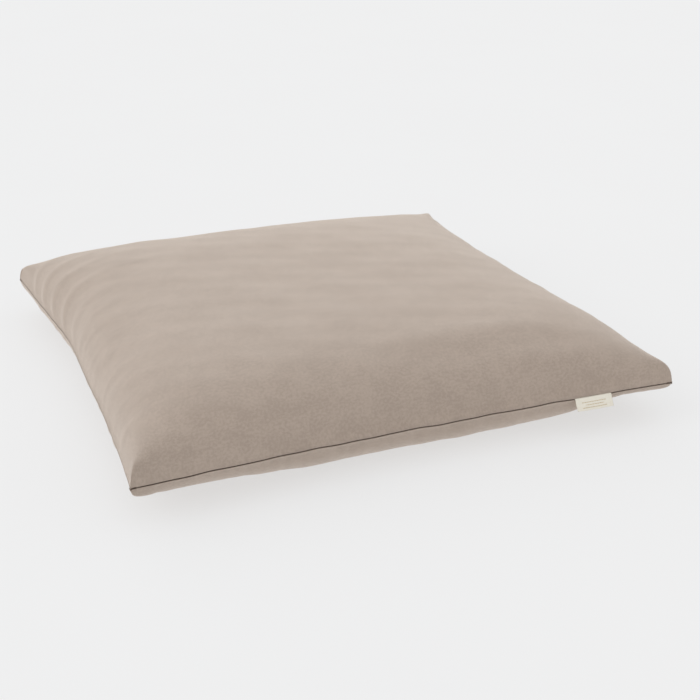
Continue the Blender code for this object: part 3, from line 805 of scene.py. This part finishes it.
def label_ribbon():
    material, make, shader = new_material("label_ribbon")
    cloth = make.on_cloth()
    place = make.add("ShaderNodeSeparateXYZ", in0=cloth)
    weave = place_group(make, WEAVE, Place=cloth, Pitch=0.00028)
    gold = 0.0
    for row, start, end in ((0.0046, -0.017, 0.017), (0.0080, -0.012, 0.012), (0.0114, -0.017, 0.017)):
        beside = make.math("ABSOLUTE", make.math("SUBTRACT", place.outputs[1], FACE_TOP + row))
        on_row = make.math("LESS_THAN", beside, 0.00038)
        inside = make.math("LESS_THAN", make.math("ABSOLUTE", make.math(
            "SUBTRACT", place.outputs[0], (start + end) / 2)), (end - start) / 2)
        beat = make.math("FRACT", make.math("DIVIDE", place.outputs[0], 0.0034))
        stitch = make.math("LESS_THAN", beat, 0.68)
        mark = make.math("MULTIPLY", make.math("MULTIPLY", on_row, inside), stitch)
        gold = make.math("ADD", gold, mark)
    ground = make.mix(weave["Thread Tone"], CREAM, CREAM_SHADE)
    set_surface(make, shader, make.mix(gold, ground, GOLD),
                make.spread(weave["Thread Tone"], 0.0, 1.0, 0.55, 0.72))
    shader.inputs["Sheen Weight"].default_value = 0.15
    set_bump(make, shader, make.math("ADD", weave["Height"], make.math("MULTIPLY", gold, 1.2)), 0.00008)
    return material


label.data.materials.append(label_ribbon())
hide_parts("woven_label_tail", "woven_label_flap")
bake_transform(label)


# ------------------------------------------------------------- zip, in the back
# A nylon coil zip: two woven tapes sewn behind the hems, a coil of monofilament along each, metal stops at
# both ends, and a nickel-plated slider whose pull hangs from its bail through the slit.

def tape_cloth():
    """Narrow polyester tape: fine ribs along its length."""
    material, make, shader = new_material("zip_tape_weave")
    place = make.on_object()
    turned = make.add("ShaderNodeSeparateXYZ", in0=place)
    flat = make.add("ShaderNodeCombineXYZ", in0=turned.outputs[0], in1=turned.outputs[2])
    weave = place_group(make, WEAVE, Place=flat.outputs[0], Pitch=0.0006)
    ribs = make.mix(weave["Thread Tone"], (0.30, 0.25, 0.21), (0.39, 0.33, 0.285))
    set_surface(make, shader, ribs, make.spread(weave["Height"], 0.0, 1.0, 0.85, 0.68))
    shader.inputs["Sheen Weight"].default_value = 0.1
    set_bump(make, shader, weave["Height"], 0.0001)
    return material


TAPE = tape_cloth()
for node in ("zip_tape_upper", "zip_tape_lower"):
    nodes[node].data.materials.clear()
    nodes[node].data.materials.append(TAPE)


def nylon():
    """Monofilament: smooth, slightly clouded nylon."""
    material, make, shader = new_material("coil_nylon")
    place = make.on_object()
    cloud = make.noise(place, 900.0, 2.0, 0.5)
    set_surface(make, shader, make.mix(cloud, (0.24, 0.195, 0.16), (0.30, 0.25, 0.21)),
                make.spread(cloud, 0.3, 0.7, 0.30, 0.44))
    set_bump(make, shader, cloud, 0.00003)
    return material


NYLON = nylon()
COIL_PITCH = 0.0015
FILAMENT = 0.0002
for node, rise_side in (("zip_coil_upper", 1), ("zip_coil_lower", -1)):
    low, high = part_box(node)
    middle_y = (low.y + high.y) / 2
    reach_y = (high.y - low.y) / 2 - FILAMENT
    inner, outer = 0.0004 + FILAMENT, max(high.z - SEAM_HEIGHT, SEAM_HEIGHT - low.z) - FILAMENT
    loops = int((high.x - low.x) / COIL_PITCH)
    turns = np.linspace(0, 2 * math.pi * loops, loops * 10) + (math.pi if rise_side < 0 else 0)
    x = np.linspace(low.x + FILAMENT, high.x - FILAMENT, len(turns))
    rise = (inner + outer) / 2 + (outer - inner) / 2 * np.cos(turns)
    path = np.stack([x, middle_y + reach_y * np.sin(turns), SEAM_HEIGHT + rise_side * rise], -1)
    outward = np.stack([0 * x, np.sin(turns), rise_side * np.cos(turns)], -1)
    coil = mesh_piece(f"{node}_loops", *thread_tube(path, outward, FILAMENT))
    coil.data.materials.append(NYLON)
    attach(coil, "cushion")
    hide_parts(node)


def edge_wear():
    """Where a metal edge is rubbed bright, in broken patches."""
    tree, make, given, result = effect_group("edge_wear", [("Place", "Vector", None)], [("Wear", "Float")])
    pointed = make.add("ShaderNodeNewGeometry").outputs["Pointiness"]
    rubbed = make.spread(pointed, 0.50, 0.62)
    broken = make.spread(make.noise(given.outputs["Place"], 1300.0, 3.0, 0.6), 0.30, 0.62)
    make.put(result.inputs["Wear"], make.math("MULTIPLY", rubbed, broken))
    return tree


def nickel(name, brushed):
    """Plated zinc, faintly brushed and brighter where it is handled."""
    material, make, shader = new_material(name)
    place = make.on_object()
    wear = place_group(make, WEAR, Place=place)["Wear"]
    stretched = make.add("ShaderNodeMapping", Vector=place, Scale=brushed)
    brush = make.noise(stretched.outputs["Vector"], 900.0, 3.0, 0.6)
    colour = make.mix(brush, (0.56, 0.545, 0.52), (0.66, 0.645, 0.62))
    make.put(shader.inputs["Base Color"], make.mix(wear, colour, (0.80, 0.79, 0.77)))
    shader.inputs["Metallic"].default_value = 1.0
    tone = make.spread(brush, 0.25, 0.75, 0.24, 0.38)
    make.put(shader.inputs["Roughness"], make.math("SUBTRACT", tone, make.math("MULTIPLY", wear, 0.10)))
    set_bump(make, shader, brush, 0.00002)
    return material


WEAR = edge_wear()
PLATED = nickel("zip_nickel", (1.0, 6.0, 6.0))


def finished_metal(name, node, rounding, segments=3):
    """A cast piece: the node's own shape with flat faces merged and every sharp edge rounded."""
    source = nodes[node]
    form = bmesh.new()
    form.from_mesh(source.data)
    bmesh.ops.remove_doubles(form, verts=form.verts, dist=1e-6)
    bmesh.ops.dissolve_limit(form, angle_limit=math.radians(2), verts=form.verts, edges=form.edges)
    sharp = [edge for edge in form.edges if edge.is_manifold and edge.calc_face_angle() > math.radians(35)]
    bmesh.ops.bevel(form, geom=sharp, offset=rounding, segments=segments, profile=0.5, affect="EDGES",
                    clamp_overlap=True)
    mesh = bpy.data.meshes.new(name)
    form.to_mesh(mesh)
    form.free()
    for polygon in mesh.polygons:
        polygon.use_smooth = True
    mesh.set_sharp_from_angle(angle=math.radians(40))
    piece = bpy.data.objects.new(name, mesh)
    bpy.context.collection.objects.link(piece)
    piece.data.materials.append(PLATED)
    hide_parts(node)
    return piece


for node in ("zip_top_stop_upper", "zip_top_stop_lower", "zip_bottom_stop"):
    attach(finished_metal(f"{node}_clamp", node, 0.00025), "cushion")
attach(finished_metal("zip_slider_body", "zip_slider", 0.00018), "zip_slider")
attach(finished_metal("zip_pull_tab", "zip_puller", 0.00022), "zip_puller")


# ------------------------------------------------------------------- care label
# A short strip of white satin ribbon, sewn into the left seam inside the cover and left blank here.

care_low, care_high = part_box("care_label")
CARE_THICKNESS = 0.0002
care_middle = (care_low + care_high) / 2
care_width = care_high.y - care_low.y - 0.0006
care_drop = care_high.z - care_low.z - 0.0004
care_lean = care_high.x - care_low.x - 0.0012
CARE_COLUMNS, CARE_ROWS = 24, 18
points, uv = [], []
for column in range(CARE_COLUMNS + 1):
    for row in range(CARE_ROWS + 1):
        aside, down = column / CARE_COLUMNS - 0.5, row / CARE_ROWS
        x = care_low.x + 0.0006 + care_lean * down
        x += 0.00025 * math.sin(4 * aside + 2) * math.sin(math.pi * down)
        points.append((x, care_middle.y + aside * care_width, care_high.z - 0.0002 - down * care_drop))
        uv.append((aside * care_width, down * care_drop))
faces = grid_quads(np.arange(len(points)).reshape(CARE_COLUMNS + 1, CARE_ROWS + 1).T)
care = mesh_piece("care_label_satin", points, faces, uv)
thicken(care, "satin", CARE_THICKNESS, 0)


def satin():
    """Satin ribbon: long floats that catch the light along its length."""
    material, make, shader = new_material("care_satin")
    cloth = make.on_cloth()
    stretched = make.add("ShaderNodeMapping", Vector=cloth, Scale=(5.0, 0.6, 1.0))
    floats = make.noise(stretched.outputs["Vector"], 900.0, 2.0, 0.5)
    set_surface(make, shader, make.mix(floats, (0.80, 0.80, 0.79), (0.88, 0.88, 0.87)),
                make.spread(floats, 0.3, 0.7, 0.28, 0.42))
    set_bump(make, shader, floats, 0.00003)
    return material


care.data.materials.append(satin())
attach(care, "cushion")
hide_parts("care_label")


# ------------------------------------------------------------------- inner case
# The filling has a case of its own, two squares of thin white cotton sewn all round, a little smaller than
# the cover and close inside it. Its seam is plain, with a 6 mm allowance turned in.

CASE_INSET, CASE_DEPTH, CASE_CLOTH, CASE_STEPS = 0.0185, 0.0048, 0.0005, 96
CASE_EDGE = ((0.0, 0.0012), (0.0004, 0.0004), (0.0012, 0.00015), (0.0060, 0.00015))


def case_cotton():
    material, make, shader = new_material("case_cotton")
    cloth = make.on_cloth()
    weave = place_group(make, WEAVE, Place=cloth, Pitch=0.0004)
    cloud = place_group(make, NAP, Place=cloth)["Cloud"]
    tone = make.math("MULTIPLY", make.math("ADD", weave["Thread Tone"], cloud), 0.5)
    set_surface(make, shader, make.mix(tone, (0.80, 0.79, 0.76), (0.87, 0.86, 0.835)),
                make.spread(weave["Height"], 0.0, 1.0, 0.92, 0.80))
    shader.inputs["Sheen Weight"].default_value = 0.1
    set_bump(make, shader, weave["Height"], 0.0001)
    return material


CASE_COTTON = case_cotton()
steps, case_length = even_steps(CASE_STEPS, CASE_INSET, CASE_DEPTH)
u, v = np.meshgrid(steps, steps, indexing="ij")
for side, node in ((1, "inner_case_top"), (-1, "inner_case_bottom")):
    surface = slackened(stuffed_form(u, v, side, CASE_INSET, CASE_DEPTH), u, v, side)
    edge_fade = 1 - np.exp(-np.minimum.reduce(seam_distances(CASE_STEPS, case_length / CASE_STEPS)) / 0.01)
    uneven = 0.0004 * soft_ripple(surface[..., 0], surface[..., 1], 31 + side, 0.05, 0.12) * edge_fade
    surface = surface + side * grid_normals(surface) * uneven[..., None]
    case = sewn_panel(f"{node}_cotton", surface, case_length / CASE_STEPS, side, CASE_EDGE, CASE_EDGE,
                      lambda x: np.zeros_like(x), CASE_CLOTH)
    case.data.materials.append(CASE_COTTON)
    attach(case, "cushion")
    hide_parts(node)


# ---------------------------------------------------------------- fibre filling
# Loose hollow polyester fibre fills the case: a springy white mass with a lumpy surface where tufts press
# against the cotton.

FILL_INSET, FILL_DEPTH, FILL_STEPS = 0.0215, 0.0066, 90
steps, _ = even_steps(FILL_STEPS, FILL_INSET, FILL_DEPTH)
u, v = np.meshgrid(steps, steps, indexing="ij")
upper, lower, inner = two_layer_grid(FILL_STEPS)
layers = []
for side in (1, -1):
    layer = slackened(stuffed_form(u, v, side, FILL_INSET, FILL_DEPTH), u, v, side)
    lumps = soft_ripple(layer[..., 0], layer[..., 1], 41 + side, 0.018, 0.06, 24)
    sink = 0.0007 * (lumps - 1.6) * inner
    layers.append(layer + side * grid_normals(layer) * sink[..., None])
fill = mesh_piece("fibre_filling", np.concatenate([layers[0].reshape(-1, 3), layers[1][inner]]),
                  layer_quads(upper, lower))


def fibre():
    """Crimped fibres in a tangle, with deeper hollows between tufts."""
    material, make, shader = new_material("polyester_fibre")
    place = make.on_object()
    tangle = make.noise(place, 700.0, 5.0, 0.7)
    tufts = make.noise(place, 60.0, 3.0, 0.55)
    both = make.math("ADD", make.math("MULTIPLY", tangle, 0.5), make.math("MULTIPLY", tufts, 0.5))
    tone = make.spread(both, 0.35, 0.65)
    set_surface(make, shader, make.mix(tone, (0.74, 0.74, 0.72), (0.90, 0.90, 0.89)),
                make.spread(tangle, 0.3, 0.7, 0.95, 0.80))
    shader.inputs["Sheen Weight"].default_value = 0.3
    set_bump(make, shader, make.math("ADD", tangle, make.math("MULTIPLY", tufts, 3.0)), 0.0012)
    return material


fill.data.materials.append(fibre())
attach(fill, "cushion")
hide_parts("fibre_fill")


# ----------------------------------------------------------------------- studio
# A pale floor that glows a little, so that shadows stay light, an even bright room, and broad windows behind
# the cushion and at its left. The camera looks down over the front left corner.

FLOOR_SHADE, FLOOR_PAINT, FLOOR_GLOW = (0.300, 0.302, 0.305), (0.304, 0.306, 0.309), 0.585
floor = mesh_piece("floor", [(-9, -9, 0), (9, -9, 0), (9, 9, 0), (-9, 9, 0)], [(0, 1, 2, 3)])
floor_material, make, shader = new_material("floor_paint")
paint = make.noise(make.on_object(), 3.0, 2.0, 0.5)
make.put(shader.inputs["Base Color"], make.mix(paint, FLOOR_SHADE, FLOOR_PAINT))
make.put(shader.inputs["Emission Color"], make.mix(paint, (0.99, 0.99, 0.99), (1.0, 1.0, 1.0)))
shader.inputs["Emission Strength"].default_value = FLOOR_GLOW
shader.inputs["Roughness"].default_value = 1.0
shader.inputs["Specular IOR Level"].default_value = 0.0
floor.data.materials.append(floor_material)
floor.location.z = -0.0002

ROOM_LIGHT = 0.80
room = bpy.data.worlds.new("room")
bpy.context.scene.world = room
room.use_nodes = True
room.node_tree.nodes["Background"].inputs["Color"].default_value = (1, 1, 1, 1)
room.node_tree.nodes["Background"].inputs["Strength"].default_value = ROOM_LIGHT


def add_light(name, energy, towards, spread):
    """A broad soft light that shines from the direction given."""
    light = bpy.data.objects.new(name, bpy.data.lights.new(name, "SUN"))
    light.data.energy = energy
    light.data.angle = math.radians(spread)
    light.rotation_mode = "QUATERNION"
    light.rotation_quaternion = Vector(towards).to_track_quat("Z", "Y")
    bpy.context.collection.objects.link(light)


add_light("window_behind", 0.38, (0.10, 1.2, 0.35), 40)
add_light("window_at_left", 0.75, (-1.0, 0.3, 0.50), 60)

AZIMUTH, ELEVATION, DISTANCE = math.radians(-22.78), math.radians(23.62), 1.757
LOOK_AT = Vector((0.0266, -0.0637, 0.035))
camera = bpy.data.objects.new("camera", bpy.data.cameras.new("camera"))
camera.data.sensor_width = 36.0
camera.data.lens = 65.7
back = Vector((math.sin(AZIMUTH) * math.cos(ELEVATION), -math.cos(AZIMUTH) * math.cos(ELEVATION),
               math.sin(ELEVATION)))
camera.location = LOOK_AT + back * DISTANCE
camera.rotation_mode = "QUATERNION"
camera.rotation_quaternion = back.to_track_quat("Z", "Y")
bpy.context.collection.objects.link(camera)
bpy.context.scene.camera = camera
bpy.context.scene.view_settings.view_transform = "Standard"
